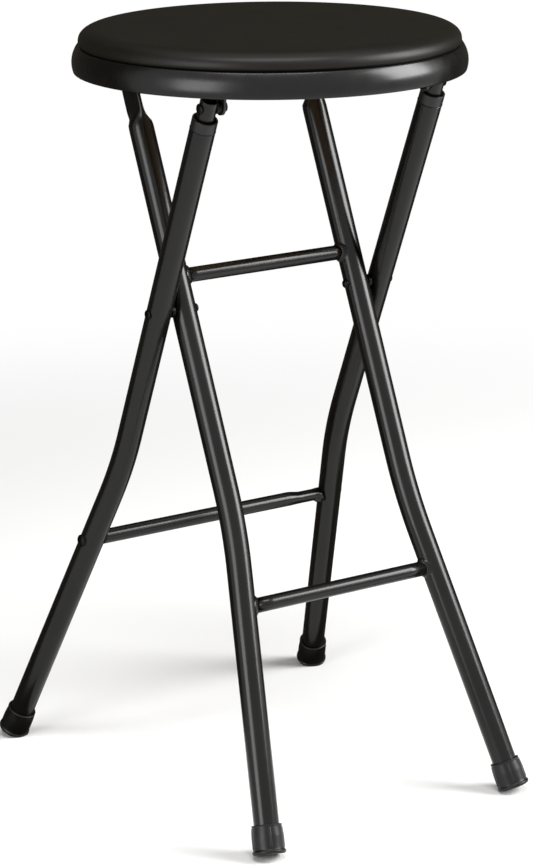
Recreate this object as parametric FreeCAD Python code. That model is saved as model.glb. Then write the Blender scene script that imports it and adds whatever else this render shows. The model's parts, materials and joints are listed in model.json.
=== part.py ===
"""Folding stool: two crossed tube frames, a round padded seat and a pair of telescoping seat struts.

Millimetres, +Z up. The origin is on the floor under the middle of the stool. X runs along the pivots,
the outer frame's feet stand at +Y and the inner frame's feet at -Y.
"""
import FreeCAD, Part
import math
import os

from FreeCAD import Vector

# Frames and their crossing
centre_height = 396.5          # floor to the centre pivots
frame_lean = 23.6              # degrees, each frame from the vertical
pivot_reach = 188.0            # centre pivot to the seat pivot, along either frame
outer_half_width = 106.0       # middle plane to an outer leg's axis, above the bend
leg_gap = 3.0                  # between an outer and an inner leg, filled by the spacer
tube_diameter = 20.0
tube_wall = 1.2
outer_bend_drop = 152.0        # centre pivot to the outer leg's bend, down the frame
inner_bend_drop = 177.5
outer_splay = 9.9              # degrees that a lower leg turns outwards
inner_splay = 8.2
outer_bend_radius = 350.0
inner_bend_radius = 450.0

# Crossbars
bar_diameter = 12.0
bar_wall = 1.0
inner_upper_bar_rise = 26.5    # above the centre pivot, along the frame
inner_lower_bar_drop = 239.7   # below the centre pivot, along the frame
outer_bar_drop = 225.7
bar_neck_diameter = 10.2       # drawn-down right end of the riveted bar
bar_neck_start = 44.0          # from the leg's axis, where the bar starts to narrow
bar_neck_end = 30.0
bar_flare_start = 18.0         # from the leg's axis, where the bar widens into its saddle
bar_flare_end = 12.0
bar_flare_diameter = 13.0
weld_leg = 2.2                 # both legs of the weld fillet

# Flattened upper ends of the inner legs
flat_thickness = 3.2
flat_width = 23.6
flat_offset = 1.9              # the flat's middle, outwards from the tube's axis
flat_slot = 0.6                # what is left of the bore between the pressed walls
press_start = 38.0             # below the seat pivot, where the round tube starts to flatten
press_end = 24.0               # below the seat pivot, where the flat begins

# Telescoping struts
strut_diameter = 14.0
strut_wall = 1.2
strut_top_margin = 7.0         # above the seat pivot
bush_mouth = 9.0               # from the bush's mouth to the seat pivot
bush_head = 9.0                # visible sleeve above the leg tube
bush_mouth_bore = 16.4
bush_mouth_depth = 2.0
plug_head = 4.0
plug_spigot = 12.0
plug_play = 0.2                # round the plug, in the leg's bore
slide_play = 0.2               # round the strut, in the bush

# Seat
pivot_drop = 15.8              # seat pivots below the board's underside
board_radius = 146.0
board_thickness = 12.0
board_edge_round = 1.0
rim_seam_radius = 151.5
rim_bulge_radius = 155.6
rim_bottom_radius = 154.5
rim_height = 19.5              # from the lower edge to the seam
rim_bulge_height = 6.5         # from the lower edge to the widest line
rim_ledge = 3.0                # how far the rim reaches in under the board
rim_ledge_thickness = 2.5
rim_lip_radius = 149.5
rim_lip_round = 1.0
cushion_thickness = 18.5
cushion_seam_radius = 148.8
cushion_side_radius = 150.3
cushion_shoulder_radius = 130.0
cushion_crown = 1.2            # rise from the shoulder to the middle
cushion_side_height = 6.5      # board to the widest line of the side
cushion_seat_play = 0.3
cushion_round_angle = 45.0     # degrees round the shoulder to the middle of its arc

# Seat brackets
bracket_thickness = 2.0
bracket_running_gap = 0.3      # beside the outer leg
bracket_end_margin = 13.0      # past the seat pivots, along Y
bracket_web = 8.0              # height of the strip between the ears
bracket_flange = 20.0
ear_radius = 6.5
screw_spacing = 50.0
screw_inset = 12.0             # from the bracket's plate
screw_diameter = 4.0
screw_length = 10.0
screw_head_diameter = 8.0
screw_head_height = 2.0
screw_count = 3

# Pivot hardware
bolt_diameter = 5.0
bolt_head_diameter = 8.4
bolt_head_height = 1.8
bolt_end = 0.5                 # thread that shows past a nut
nut_width = 8.0                # across the flats
nut_height = 3.0
nut_chamfer_share = 1.12       # of the nut's corner radius, the ball that rounds its corners
hole_play = 0.15               # round a bolt
face_play = 0.2                # beside a turning face
spacer_diameter = 10.0         # between the legs and beside the seat brackets
centre_rivet_diameter = 6.0
centre_head_diameter = 8.0     # low head on the outer leg
centre_head_height = 1.5
centre_tail_diameter = 7.4     # domed end on the inner leg
centre_tail_height = 3.0
rivet_diameter = 5.0
rivet_head_diameter = 10.4     # high head on the left leg
rivet_head_height = 2.6
rivet_tail_diameter = 6.4      # low end on the right leg
rivet_tail_height = 0.8
rivet_head_reach = 3.0         # into the leg, before a head is cut to the tube
rivet_grip = 9.0               # rivet inside the bar's end

# Foot caps, measured from the middle of the sole along the leg
cap_length = 23.0
cap_top_radius = 11.7
cap_waist_radius = 12.3
cap_waist_height = 14.0
cap_foot_radius = 13.2
cap_foot_height = 3.0
cap_foot_step = 0.6            # height of the step from the foot to the waist
cap_sole = 6.0                 # rubber under the tube
cap_sole_round = 2.0
cap_round_share = 0.3          # of the sole's rounding, where its middle lies
cap_edge_round = 0.8
sole_press = 1.3               # how deep the floor cuts a flat into the tilted sole

# One overrun serves every cut
overrun = 5.0

# Values that follow from the sizes above
tube_radius = tube_diameter / 2
bore_radius = tube_radius - tube_wall
strut_radius = strut_diameter / 2
bar_radius = bar_diameter / 2
bolt_radius = bolt_diameter / 2
hole_radius = bolt_radius + hole_play
centre_hole_radius = centre_rivet_diameter / 2 + hole_play
inner_half_width = outer_half_width - tube_diameter - leg_gap
lean = math.radians(frame_lean)
pivot_half_span = pivot_reach * math.sin(lean)
pivot_height = centre_height + pivot_reach * math.cos(lean)
board_bottom = pivot_height + pivot_drop
board_top = board_bottom + board_thickness
seat_top = board_top + cushion_thickness
bracket_outer_face = outer_half_width - tube_radius - bracket_running_gap
bracket_inner_face = bracket_outer_face - bracket_thickness
flat_outer_face = inner_half_width + flat_offset + flat_thickness / 2
flat_inner_face = flat_outer_face - flat_thickness
seam_height = board_bottom - rim_ledge_thickness - 2 * rim_lip_round + rim_height
bush_mouth_place = pivot_reach - bush_mouth
leg_tube_end = bush_mouth_place - bush_head
strut_rest = centre_rivet_diameter / 2 + face_play + hole_play
seat_span = 2 * pivot_half_span

# The fold ends where the riveted bar meets the inner legs
stop_angle = math.asin((tube_radius + bar_radius + face_play) / outer_bar_drop)
folded_reach = pivot_reach * math.cos(stop_angle) + math.sqrt(
    seat_span ** 2 - (pivot_reach * math.sin(stop_angle)) ** 2)
strut_travel = folded_reach - pivot_reach
bush_foot_place = strut_rest + plug_head + strut_travel + face_play

OUTER = 1
INNER = -1
LEFT = -1
RIGHT = 1
SIDES = (LEFT, RIGHT)
AXIS_X = Vector(1, 0, 0)
AXIS_Z = Vector(0, 0, 1)
ORIGIN = Vector(0, 0, 0)


def save(name, *solids):
    """Writes one node: a single solid, or a group of separate ones."""
    shape = solids[0] if len(solids) == 1 else Part.Compound(list(solids))
    shape.exportStep("parts/" + name + ".step")
    box = shape.optimalBoundingBox(True, False)
    print(name, len(shape.Solids), shape.isValid(), round(shape.Volume), [round(v, 1) for v in (
        box.XMin, box.YMin, box.ZMin, box.XMax, box.YMax, box.ZMax)])


def stand_up(shape, frame):
    """Leans a shape from frame coordinates, X across and Z up the frame, into its place."""
    placed = shape.copy()
    placed.rotate(ORIGIN, AXIS_X, frame * frame_lean)
    placed.translate(Vector(0, 0, centre_height))
    return placed


def rod_across(radius, x_start, x_end, y, z):
    """Round bar along X."""
    low, high = sorted((x_start, x_end))
    return Part.makeCylinder(radius, high - low, Vector(low, y, z), AXIS_X)


def turned(points, place=ORIGIN, direction=AXIS_Z):
    """Solid turned from a closed outline of (radius, height) points."""
    corners = [Vector(radius, 0, height) for radius, height in points]
    face = Part.Face(Part.makePolygon(corners + corners[:1]))
    solid = face.revolve(ORIGIN, AXIS_Z, 360)
    solid.Placement = FreeCAD.Placement(place, FreeCAD.Rotation(AXIS_Z, direction))
    return solid


def revolved(edges):
    """Solid turned about the Z axis from a closed run of edges in the XZ plane."""
    face = Part.Face(Part.Wire([edge.toShape() for edge in edges]))
    return face.revolve(ORIGIN, AXIS_Z, 360)


# Leg tubes

def leg_shape(frame):
    """Half width, bend drop, splay and bend radius of a frame's legs."""
    if frame == OUTER:
        return outer_half_width, outer_bend_drop, math.radians(outer_splay), outer_bend_radius
    return inner_half_width, inner_bend_drop, math.radians(inner_splay), inner_bend_radius


def lower_direction(frame, side):
    """Unit vector down a lower leg."""
    splay = leg_shape(frame)[2]
    return Vector(side * math.sin(splay), 0, -math.cos(splay))


def bend_corner(frame, side):
    half_width, drop, _, _ = leg_shape(frame)
    return Vector(side * half_width, 0, -drop)


def sole_height(frame):
    """Middle of a tilted sole above the floor, which cuts the sole's lowest edge flat."""
    upright = math.cos(lean) * math.cos(leg_shape(frame)[2])
    tilt = math.acos(upright)
    return (cap_foot_radius - cap_sole_round) * math.sin(tilt) + cap_sole_round * (1 - upright) - sole_press


def sole_point(frame, side):
    """Where a leg's axis meets the middle of its sole."""
    drop, splay = leg_shape(frame)[1:3]
    length = ((centre_height - sole_height(frame)) / math.cos(lean) - drop) / math.cos(splay)
    return bend_corner(frame, side) + lower_direction(frame, side) * length


def leg_axis_at(frame, side, drop):
    """Distance of a leg's axis from the middle plane, at a drop below the bend."""
    half_width, bend_drop, splay, _ = leg_shape(frame)
    return side * (half_width + (drop - bend_drop) * math.tan(splay))


def leg_path(frame, side, top):
    """Straight upper run, tangent bend and straight lower run, from the top down."""
    half_width, _, splay, radius = leg_shape(frame)
    corner = bend_corner(frame, side)
    down = lower_direction(frame, side)
    tangent = radius * math.tan(splay / 2)
    start = Vector(side * half_width, 0, top)
    bend_start = corner + AXIS_Z * tangent
    bend_end = corner + down * tangent
    middle_out = half_width + radius * (1 - math.cos(splay / 2))
    middle = Vector(side * middle_out, 0, bend_start.z - radius * math.sin(splay / 2))
    end = sole_point(frame, side) - down * cap_sole
    runs = [
        Part.LineSegment(start, bend_start),
        Part.Arc(bend_start, middle, bend_end),
        Part.LineSegment(bend_end, end),
    ]
    return Part.Wire([run.toShape() for run in runs])


def swept(radius, path, top):
    """Round solid along a leg's path."""
    circle = Part.makeCircle(radius, top, AXIS_Z)
    return path.makePipeShell([Part.Wire(circle)], True, True)


def leg_solid(frame, side, top, radius):
    half_width = leg_shape(frame)[0]
    return swept(radius, leg_path(frame, side, top), Vector(side * half_width, 0, top))


def leg_tube(frame, side, top):
    return leg_solid(frame, side, top, tube_radius).cut(leg_solid(frame, side, top, bore_radius))


def four_sided(centre, half_x, half_y, bulge_x, bulge_y):
    """Closed wire of four arcs: corners at the half sizes, sides bulging by the given amounts."""
    corners = [(half_x, half_y), (-half_x, half_y), (-half_x, -half_y), (half_x, -half_y)]
    far_x = half_x + bulge_x
    far_y = half_y + bulge_y
    middles = [(0, far_y), (-far_x, 0), (0, -far_y), (far_x, 0)]
    edges = []
    for index in range(len(corners)):
        start = centre + Vector(*corners[index], 0)
        middle = centre + Vector(*middles[index], 0)
        end = centre + Vector(*corners[(index + 1) % len(corners)], 0)
        edges.append(Part.Arc(start, middle, end).toShape())
    return Part.Wire(edges)


def pressed_section(side, thickness, width, height):
    """Slightly oval section of the pressed tube."""
    bulge = thickness / 8
    half_x = thickness / 2 - bulge
    half_y = width / 2 - bulge
    centre = Vector(side * (inner_half_width + flat_offset), 0, height)
    return four_sided(centre, half_x, half_y, bulge, bulge)


def round_section(side, radius, height):
    corner = radius / math.sqrt(2)
    centre = Vector(side * inner_half_width, 0, height)
    return four_sided(centre, corner, corner, radius - corner, radius - corner)


def across_flat(radius, side):
    """Cutter along X that goes right through the flat at its bolt."""
    low = side * (flat_inner_face - overrun)
    high = side * (flat_outer_face + overrun)
    return rod_across(radius, low, high, 0, pivot_reach)


def pressed_end(side):
    """Transition from the round tube to the flat, and the flat with its rounded end and bolt hole."""
    low = pivot_reach - press_start
    high = pivot_reach - press_end
    flat_section = pressed_section(side, flat_thickness, flat_width, high)
    slot_section = pressed_section(side, flat_slot, flat_width - 2 * tube_wall, high)
    outside = Part.makeLoft([round_section(side, tube_radius, low), flat_section], True, False)
    inside = Part.makeLoft([round_section(side, bore_radius, low), slot_section], True, False)
    flat = Part.Face(flat_section).extrude(AXIS_Z * (pivot_reach + flat_width - high))
    middle_x = side * (inner_half_width + flat_offset)
    below = Part.makeBox(flat_thickness + 2 * overrun, flat_width, pivot_reach - high,
                         Vector(middle_x - flat_thickness / 2 - overrun, -flat_width / 2, high))
    flat = flat.common(across_flat(flat_width / 2, side).fuse(below))
    return outside.cut(inside).fuse(flat).cut(across_flat(hole_radius, side)).removeSplitter()


def pivot_hole(side):
    """Hole for the centre pivot's rivet, through both walls of a leg pair."""
    return rod_across(centre_hole_radius, side * (inner_half_width - tube_radius - overrun),
                      side * (outer_half_width + tube_radius + overrun), 0, 0)


def inner_leg(side):
    tube = leg_tube(INNER, side, pivot_reach - press_start)
    leg = tube.fuse(pressed_end(side)).removeSplitter()
    return stand_up(leg.cut(pivot_hole(side)), INNER)


def rivet_axis(side):
    """Start outside the leg and end inside the bar, along X at the riveted bar."""
    axis_x = leg_axis_at(OUTER, RIGHT, outer_bar_drop)
    skin = tube_radius / math.cos(math.radians(outer_splay))
    return side * (axis_x + skin), side * (axis_x - skin)


def outer_leg(side):
    outside, inside = rivet_axis(side)
    rivet_hole = rod_across(rivet_diameter / 2 + hole_play, outside + side * overrun, inside - side * overrun,
                            0, -outer_bar_drop)
    leg = leg_tube(OUTER, side, leg_tube_end).cut(pivot_hole(side)).cut(rivet_hole)
    return stand_up(leg, OUTER)


# Crossbars and welds

def welded_bar(height, length_to):
    """Tube across the inner frame, its ends coped to the legs."""
    bar = rod_across(bar_radius, -length_to, length_to, 0, height)
    bar = bar.cut(rod_across(bar_radius - bar_wall, -length_to, length_to, 0, height))
    for side in SIDES:
        bar = bar.cut(leg_solid(INNER, side, pivot_reach - press_start, tube_radius))
    return max(bar.Solids, key=lambda solid: solid.Volume)


def weld_bead(side, height, axis_x):
    """Fillet of weld round a bar's end, cut to the leg and the bar."""
    face = axis_x - tube_radius
    wide = bar_radius + weld_leg
    bead = turned([(bar_radius, face - weld_leg), (wide, face), (wide, axis_x), (bar_radius, axis_x)])
    bead.rotate(ORIGIN, Vector(0, 1, 0), side * 90)
    bead.translate(Vector(0, 0, height))
    bead = bead.cut(leg_solid(INNER, side, pivot_reach - press_start, tube_radius))
    near = [solid for solid in bead.Solids if abs(solid.CenterOfMass.x) < axis_x]
    return max(near, key=lambda solid: solid.Volume)


def inner_bars():
    """Each welded bar's height up the frame and its legs' distance from the middle plane."""
    return [
        (inner_upper_bar_rise, inner_half_width),
        (-inner_lower_bar_drop, leg_axis_at(INNER, RIGHT, inner_lower_bar_drop)),
    ]


def through_rings(rings):
    """Solid through circles across the riveted bar: each one's place along X, radius and shift downwards."""
    wires = []
    for x, radius, shift in rings:
        centre = Vector(x, 0, -outer_bar_drop - shift)
        wires.append(Part.Wire(Part.makeCircle(radius, centre, AXIS_X)))
    return Part.makeLoft(wires, True, True)


def riveted_bar():
    """Tube across the outer frame, coped to the legs. Its right end is drawn down from above and flares
    downwards at the leg."""
    end_x = leg_axis_at(OUTER, RIGHT, outer_bar_drop)
    neck_radius = bar_neck_diameter / 2
    flare_radius = bar_flare_diameter / 2
    neck_shift = bar_radius - neck_radius
    flare_shift = neck_shift + flare_radius - neck_radius
    rings = [
        (-end_x, bar_radius, 0), (end_x - bar_neck_start, bar_radius, 0),
        (end_x - bar_neck_end, neck_radius, neck_shift), (end_x - bar_flare_start, neck_radius, neck_shift),
        (end_x - bar_flare_end, flare_radius, flare_shift), (end_x, flare_radius, flare_shift)]
    skin = through_rings(rings)
    bore = through_rings([(x, radius - bar_wall, shift) for x, radius, shift in rings])
    bar = skin.cut(bore)
    for side in SIDES:
        bar = bar.cut(leg_solid(OUTER, side, leg_tube_end, tube_radius))
    return stand_up(max(bar.Solids, key=lambda solid: solid.Volume), OUTER)


# Hardware

def headed_pin(side, x_face, x_end, y, z, shank_radius, head_diameter, head_height):
    """Turned pin along X: a domed head that stands out from x_face, and a shank inwards to x_end."""
    length = abs(x_face - x_end)
    radius = head_diameter / 2
    edge = head_height / 3
    ball = (radius ** 2 + (head_height - edge) ** 2) / (2 * (head_height - edge))
    half_way = radius / 2
    dome_middle = Vector(half_way, 0, head_height - ball + math.sqrt(ball ** 2 - half_way ** 2))
    corners = [
        Vector(0, 0, head_height), Vector(0, 0, -length), Vector(shank_radius, 0, -length),
        Vector(shank_radius, 0, 0), Vector(radius, 0, 0), Vector(radius, 0, edge)]
    distinct = [corner for index, corner in enumerate(corners) if corner not in corners[:index]]
    edges = [Part.LineSegment(start, end) for start, end in zip(distinct, distinct[1:])]
    edges.append(Part.Arc(distinct[-1], dome_middle, distinct[0]))
    pin = revolved(edges)
    pin.rotate(ORIGIN, Vector(0, 1, 0), side * 90)
    pin.translate(Vector(x_face, y, z))
    return pin


def ring(outer_radius, inner_radius, x_start, x_end, y, z):
    return rod_across(outer_radius, x_start, x_end, y, z).cut(rod_across(inner_radius, x_start, x_end, y, z))


def hexagon_nut(side, x_face, y, z):
    """Hexagonal nut on a face at x_face, lying on the middle plane's side of it, with the bolt's end."""
    corner = nut_width / math.sqrt(3)
    points = []
    for index in range(7):
        angle = math.radians(60 * index)
        points.append(Vector(x_face, y + corner * math.cos(angle), z + corner * math.sin(angle)))
    nut = Part.Face(Part.makePolygon(points)).extrude(Vector(-side * nut_height, 0, 0))
    chamfer = rod_across(corner, x_face, x_face - side * nut_height, y, z)
    cone = Part.makeSphere(corner * nut_chamfer_share, Vector(x_face - side * nut_height / 4, y, z))
    return nut.common(chamfer).common(cone)


def seat_pivot(frame):
    """Y and Z of a seat pivot: the struts' at -Y, the inner legs' at +Y."""
    return -frame * pivot_half_span, pivot_height


def centre_rivet(side):
    """Rivet through a leg pair, held in the inner leg: low head outside, domed tail inside."""
    outside = side * (outer_half_width + tube_radius + face_play)
    inside = side * (inner_half_width - tube_radius)
    radius = centre_rivet_diameter / 2
    head = headed_pin(side, outside, inside, 0, centre_height,
                      radius, centre_head_diameter, centre_head_height)
    tail = headed_pin(-side, inside, outside, 0, centre_height,
                      radius, centre_tail_diameter, centre_tail_height)
    return head.fuse(tail).removeSplitter()


def centre_spacer(side):
    low = inner_half_width + tube_radius
    high = outer_half_width - tube_radius - face_play
    return ring(spacer_diameter / 2, centre_hole_radius, side * low, side * high, 0, centre_height)


def rear_bolt(side):
    y, z = seat_pivot(INNER)
    end = flat_inner_face - face_play - nut_height - bolt_end
    return headed_pin(side, side * bracket_outer_face, side * end, y, z,
                      bolt_radius, bolt_head_diameter, bolt_head_height)


def rear_nut(side):
    y, z = seat_pivot(INNER)
    face = side * (flat_inner_face - face_play)
    nut = hexagon_nut(side, face, y, z)
    return nut.cut(rod_across(bolt_radius, face + side * overrun, face - side * (nut_height + overrun), y, z))


def rear_spacer(side):
    """Ring between the bracket and the leg's flat."""
    y, z = seat_pivot(INNER)
    low = flat_outer_face + face_play
    return ring(spacer_diameter / 2, hole_radius, side * low, side * bracket_inner_face, y, z)


def front_bolt(side):
    """Bolt through the strut. It ends flush with its spacer, where the open pivot begins."""
    y, z = seat_pivot(OUTER)
    outer_face = outer_half_width + strut_radius
    end = bracket_outer_face + bracket_running_gap
    return headed_pin(side, side * outer_face, side * end, y, z,
                      bolt_radius, bolt_head_diameter, bolt_head_height)


def front_spacer(side):
    y, z = seat_pivot(OUTER)
    spacer = ring(spacer_diameter / 2, bolt_radius, side * (outer_half_width + strut_radius),
                  side * (bracket_outer_face + bracket_running_gap), y, z)
    place = Vector(side * outer_half_width, 0, pivot_reach - 2 * strut_diameter)
    strut = Part.makeCylinder(strut_radius, 4 * strut_diameter, place)
    spacer = spacer.cut(stand_up(strut, OUTER))
    return min(spacer.Solids, key=lambda solid: abs(solid.CenterOfMass.x))


def front_nut(side):
    """Nut with the threaded end that fills the bracket's ear."""
    y, z = seat_pivot(OUTER)
    end = bracket_inner_face - nut_height - bolt_end
    nut = hexagon_nut(side, side * bracket_inner_face, y, z)
    return nut.fuse(rod_across(bolt_radius, side * bracket_outer_face, side * end, y, z))


def bar_rivet(side):
    """Rivet through a leg into the bar: a high head on the left leg and a low end on the right one."""
    outside, inside = rivet_axis(side)
    diameter, height = rivet_head_diameter, rivet_head_height
    if side == RIGHT:
        diameter, height = rivet_tail_diameter, rivet_tail_height
    shank = rod_across(rivet_diameter / 2, outside, inside - side * rivet_grip, 0, -outer_bar_drop)
    head = headed_pin(side, outside, outside - side * rivet_head_reach, 0, -outer_bar_drop,
                      diameter / 2, diameter, height)
    head = head.cut(leg_solid(OUTER, side, leg_tube_end, tube_radius))
    return stand_up(head.fuse(shank).removeSplitter(), OUTER)


# Struts

def strut_tube(side):
    bottom = strut_rest + plug_head
    top = pivot_reach + strut_top_margin
    place = Vector(side * outer_half_width, 0, bottom)
    tube = Part.makeCylinder(strut_radius, top - bottom, place)
    tube = tube.cut(Part.makeCylinder(strut_radius - strut_wall, top - bottom, place))
    hole = rod_across(bolt_radius, side * (outer_half_width - strut_diameter),
                      side * (outer_half_width + strut_diameter), 0, pivot_reach)
    return stand_up(tube.cut(hole), OUTER)


def strut_plug(side):
    """Plastic end plug that slides in the leg's bore and stops against the bush."""
    place = Vector(side * outer_half_width, 0, strut_rest)
    head = Part.makeCylinder(bore_radius - plug_play, plug_head, place)
    spigot = Part.makeCylinder(strut_radius - strut_wall, plug_spigot, place + AXIS_Z * plug_head)
    return stand_up(head.fuse(spigot), OUTER)


def slide_bush(side):
    """Plastic sleeve in the mouth of the outer leg."""
    bore = strut_radius + slide_play
    mouth = bush_mouth_bore / 2
    bush = turned([
        (bore, bush_foot_place), (bore_radius, bush_foot_place), (bore_radius, leg_tube_end),
        (tube_radius, leg_tube_end), (tube_radius, bush_mouth_place), (mouth, bush_mouth_place),
        (mouth, bush_mouth_place - bush_mouth_depth / 2), (bore, bush_mouth_place - bush_mouth_depth)])
    bush.translate(Vector(side * outer_half_width, 0, 0))
    return stand_up(bush, OUTER)


# Feet

def foot_cap(frame, side):
    """Rubber cap on a lower leg: sole square to the leg, its lowest edge worn flat on the floor."""
    round_low = cap_sole_round * cap_round_share
    cap = turned([
        (0, 0), (cap_foot_radius - cap_sole_round, 0), (cap_foot_radius - round_low, round_low),
        (cap_foot_radius, cap_sole_round), (cap_foot_radius, cap_foot_height),
        (cap_waist_radius, cap_foot_height + cap_foot_step), (cap_waist_radius, cap_waist_height),
        (cap_top_radius, cap_length - cap_edge_round), (cap_top_radius - cap_edge_round, cap_length),
        (tube_radius, cap_length), (tube_radius, cap_sole), (0, cap_sole)],
        sole_point(frame, side), lower_direction(frame, side) * -1)
    span = 4 * centre_height
    ground = Part.makeBox(span, span, span, Vector(-span / 2, -span / 2, -span))
    return stand_up(cap, frame).cut(ground)


# Seat

def seat_board():
    disc = Part.makeCylinder(board_radius, board_thickness, Vector(0, 0, board_bottom))
    edges = [edge for edge in disc.Edges if edge.Length > board_radius]
    board = disc.makeFillet(board_edge_round, edges)
    for side in SIDES:
        for x, y in screw_places(side):
            board = board.cut(Part.makeCylinder(screw_diameter / 2, screw_length, Vector(x, y, board_bottom)))
    return board


def seat_rim():
    """Moulded rim: bulging face, drawn in at the bottom, with a ledge under the board."""
    low = seam_height - rim_height
    seam = Vector(rim_seam_radius, 0, seam_height)
    bulge = Vector(rim_bulge_radius, 0, low + rim_bulge_height)
    bottom = Vector(rim_bottom_radius, 0, low)
    lip = Vector(rim_lip_radius, 0, low - rim_lip_round / 2)
    ledge_low = Vector(board_radius - rim_ledge, 0, board_bottom - rim_ledge_thickness)
    ledge_high = Vector(board_radius - rim_ledge, 0, board_bottom)
    ledge_back = Vector(board_radius, 0, board_bottom)
    inside_top = Vector(board_radius, 0, seam_height)
    return revolved([
        Part.Arc(seam, bulge, bottom),
        Part.LineSegment(bottom, lip),
        Part.LineSegment(lip, ledge_low),
        Part.LineSegment(ledge_low, ledge_high),
        Part.LineSegment(ledge_high, ledge_back),
        Part.LineSegment(ledge_back, inside_top),
        Part.LineSegment(inside_top, seam),
    ])


def seat_cushion():
    """Foam under vinyl: sides drawn in at the seam, rounded shoulder and a low crown."""
    base = seam_height + cushion_seat_play
    side_height = board_top + cushion_side_height
    shoulder_height = seat_top - cushion_crown
    centre_bottom = Vector(0, 0, board_top)
    edge_bottom = Vector(board_radius, 0, board_top)
    edge_seam = Vector(board_radius, 0, base)
    seam = Vector(cushion_seam_radius, 0, base)
    side = Vector(cushion_side_radius, 0, side_height)
    shoulder = Vector(cushion_shoulder_radius, 0, shoulder_height)
    top = Vector(0, 0, seat_top)
    hollow = Vector((seam.x + side.x) / 2 + cushion_seat_play, 0, (base + side_height) / 2)
    round_sine = math.sin(math.radians(cushion_round_angle))
    round_middle = Vector(
        cushion_shoulder_radius + (cushion_side_radius - cushion_shoulder_radius) * round_sine, 0,
        side_height + (shoulder_height - side_height) * round_sine)
    crown_ball = (cushion_shoulder_radius ** 2 + cushion_crown ** 2) / (2 * cushion_crown)
    half_way = cushion_shoulder_radius / 2
    crown_middle = Vector(half_way, 0, seat_top - crown_ball + math.sqrt(crown_ball ** 2 - half_way ** 2))
    return revolved([
        Part.LineSegment(centre_bottom, edge_bottom),
        Part.LineSegment(edge_bottom, edge_seam),
        Part.LineSegment(edge_seam, seam),
        Part.Arc(seam, hollow, side),
        Part.Arc(side, round_middle, shoulder),
        Part.Arc(shoulder, crown_middle, top),
        Part.LineSegment(top, centre_bottom),
    ])


def screw_places(side):
    """Centres of one bracket's screws."""
    x = side * (bracket_inner_face - screw_inset)
    first = -screw_spacing * (screw_count - 1) / 2
    return [(x, first + screw_spacing * index) for index in range(screw_count)]


def bracket_plate(side):
    """Upright plate with an ear round each seat pivot."""
    low_x = min(side * bracket_inner_face, side * bracket_outer_face)
    half_length = pivot_half_span + bracket_end_margin
    plate = Part.makeBox(bracket_thickness, 2 * half_length, bracket_web,
                         Vector(low_x, -half_length, board_bottom - bracket_web))
    for frame in (OUTER, INNER):
        y, z = seat_pivot(frame)
        ear = rod_across(ear_radius, low_x, low_x + bracket_thickness, y, z)
        corner = Vector(low_x, y - ear_radius, z)
        neck = Part.makeBox(bracket_thickness, 2 * ear_radius, board_bottom - z, corner)
        plate = plate.fuse(ear).fuse(neck)
    for frame in (OUTER, INNER):
        y, z = seat_pivot(frame)
        plate = plate.cut(rod_across(bolt_radius, low_x - overrun, low_x + overrun, y, z))
    return plate


def seat_bracket(side):
    """Stamped angle: the plate with its ears and a flange screwed to the board."""
    half_length = pivot_half_span + bracket_end_margin
    flange_x = min(side * bracket_outer_face, side * (bracket_outer_face - bracket_flange))
    flange = Part.makeBox(bracket_flange, 2 * half_length, bracket_thickness,
                          Vector(flange_x, -half_length, board_bottom - bracket_thickness))
    bracket = bracket_plate(side).fuse(flange)
    for x, y in screw_places(side):
        bracket = bracket.cut(Part.makeCylinder(
            screw_diameter / 2, bracket_thickness + 2 * overrun, Vector(x, y, board_bottom - overrun)))
    return bracket.removeSplitter()


def bracket_screw(x, y):
    head_top = board_bottom - bracket_thickness
    shank = Part.makeCylinder(screw_diameter / 2, screw_length + bracket_thickness, Vector(x, y, head_top))
    head = turned([
        (0, 0), (screw_head_diameter / 2, 0), (screw_head_diameter / 2, -screw_head_height / 3),
        (screw_head_diameter / 3, -screw_head_height), (0, -screw_head_height)], Vector(x, y, head_top))
    return head.fuse(shank)


os.makedirs("parts", exist_ok=True)

SIDE_NAMES = {LEFT: "left", RIGHT: "right"}

for side, side_name in SIDE_NAMES.items():
    save("inner_leg_" + side_name, inner_leg(side))
    save("outer_leg_" + side_name, outer_leg(side))
    save("strut_" + side_name, strut_tube(side))
    save("strut_plug_" + side_name, strut_plug(side))
    save("slide_bush_" + side_name, slide_bush(side))
    save("front_foot_" + side_name, foot_cap(INNER, side))
    save("rear_foot_" + side_name, foot_cap(OUTER, side))
    save("centre_rivet_" + side_name, centre_rivet(side))
    save("strut_bolt_" + side_name, front_bolt(side))
    save("strut_spacer_" + side_name, front_spacer(side))
    save("seat_bracket_" + side_name, seat_bracket(side))

(upper_height, upper_reach), (lower_height, lower_reach) = inner_bars()
save("inner_upper_bar", stand_up(welded_bar(upper_height, upper_reach), INNER))
save("inner_lower_bar", stand_up(welded_bar(lower_height, lower_reach), INNER))
save("frame_welds", *[
    stand_up(weld_bead(side, height, reach), INNER) for height, reach in inner_bars() for side in SIDES])
save("outer_bar", riveted_bar())
save("bar_rivets", *[bar_rivet(side) for side in SIDES])
save("centre_spacers", *[centre_spacer(side) for side in SIDES])
save("rear_pivot_bolts", *[rear_bolt(side) for side in SIDES])
save("rear_pivot_nuts", *[rear_nut(side) for side in SIDES])
save("rear_pivot_spacers", *[rear_spacer(side) for side in SIDES])
save("front_pivot_nuts", *[front_nut(side) for side in SIDES])
save("seat_board", seat_board())
save("seat_rim", seat_rim())
save("seat_cushion", seat_cushion())
save("bracket_screws", *[bracket_screw(x, y) for side in SIDES for x, y in screw_places(side)])

print("pivot half span", pivot_half_span, "pivot height", pivot_height, "seat top", seat_top)
print("fold degrees", 2 * frame_lean - math.degrees(stop_angle), "strut travel", strut_travel)
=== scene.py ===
"""Folding stool with its finishes: lacquered tube frames, telescoping struts and a round vinyl seat.

Metres, +Z up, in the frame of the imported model: X along the pivots, the inner frame's feet at -Y.
"""
import json
import math

import bpy
import numpy as np
from mathutils import Matrix, Vector


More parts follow.
